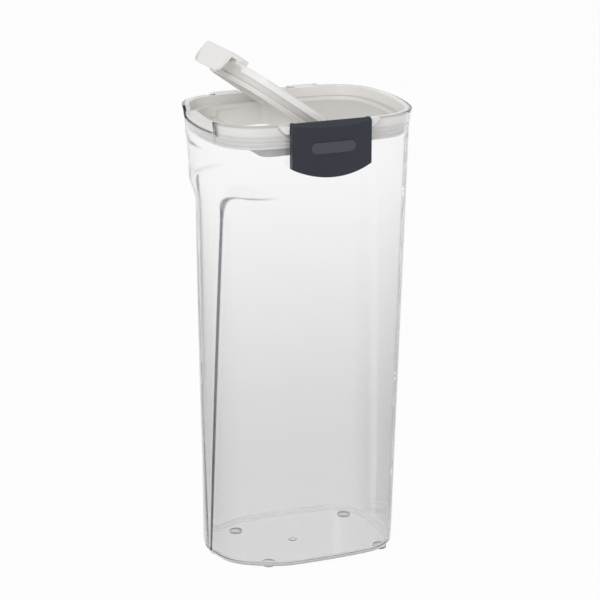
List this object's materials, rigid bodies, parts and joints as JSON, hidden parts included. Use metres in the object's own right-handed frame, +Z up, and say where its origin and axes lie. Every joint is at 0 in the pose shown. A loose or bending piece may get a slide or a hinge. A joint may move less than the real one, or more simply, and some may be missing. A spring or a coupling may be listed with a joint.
{
  "type": "pasta storage container",
  "caption": "Tall clear food keeper with a nested lid, a hinged pouring flap raised at one end, a front latch and a rear hinge.",
  "frame": {"origin": "on the standing surface, below the middle of the box that holds the whole part", "axes": "+X to the right along the long side, away from the pouring end; +Y to the rear, where the lid's hinge is, with the latch at -Y; +Z up"},
  "size_m": [0.1392, 0.1208, 0.342],
  "materials": {
    "clear_plastic": "clear polished moulding",
    "lid_plastic": "smooth warm off-white",
    "flap_plastic": "smooth off-white",
    "seal_silicone": "translucent grey silicone",
    "foot_rubber": "pale translucent rubber",
    "latch_plastic": "polished charcoal",
    "badge_plastic": "satin light grey",
    "pin_steel": "drawn wire"
  },
  "bodies": {
    "container": {"container_body": "clear_plastic", "foot_pad_front_left": "foot_rubber", "foot_pad_front_right": "foot_rubber", "foot_pad_rear_left": "foot_rubber", "foot_pad_rear_right": "foot_rubber", "lid_hinge_pin_left": "pin_steel", "lid_hinge_pin_right": "pin_steel"},
    "lid": {"lid_tray": "lid_plastic", "lid_gasket": "seal_silicone"},
    "flap": {"pour_flap": "flap_plastic", "flap_seal": "seal_silicone"},
    "latch": {"latch": "latch_plastic", "latch_badge": "badge_plastic", "latch_pin": "pin_steel"}
  },
  "joints": [
    {"name": "lid_hinge", "type": "hinge", "parent": "container", "child": "lid", "pos_m": [0, 0.0575, 0.297], "axis": [-1, 0, 0], "range_deg": [0, 110]},
    {"name": "flap_hinge", "type": "hinge", "parent": "lid", "child": "flap", "pos_m": [0.001, 0, 0.293], "axis": [0, 1, 0], "range_deg": [-35.4, 60]},
    {"name": "latch_hinge", "type": "hinge", "parent": "lid", "child": "latch", "pos_m": [0, -0.0556, 0.2974], "axis": [-1, 0, 0], "range_deg": [0, 100]}
  ]
}
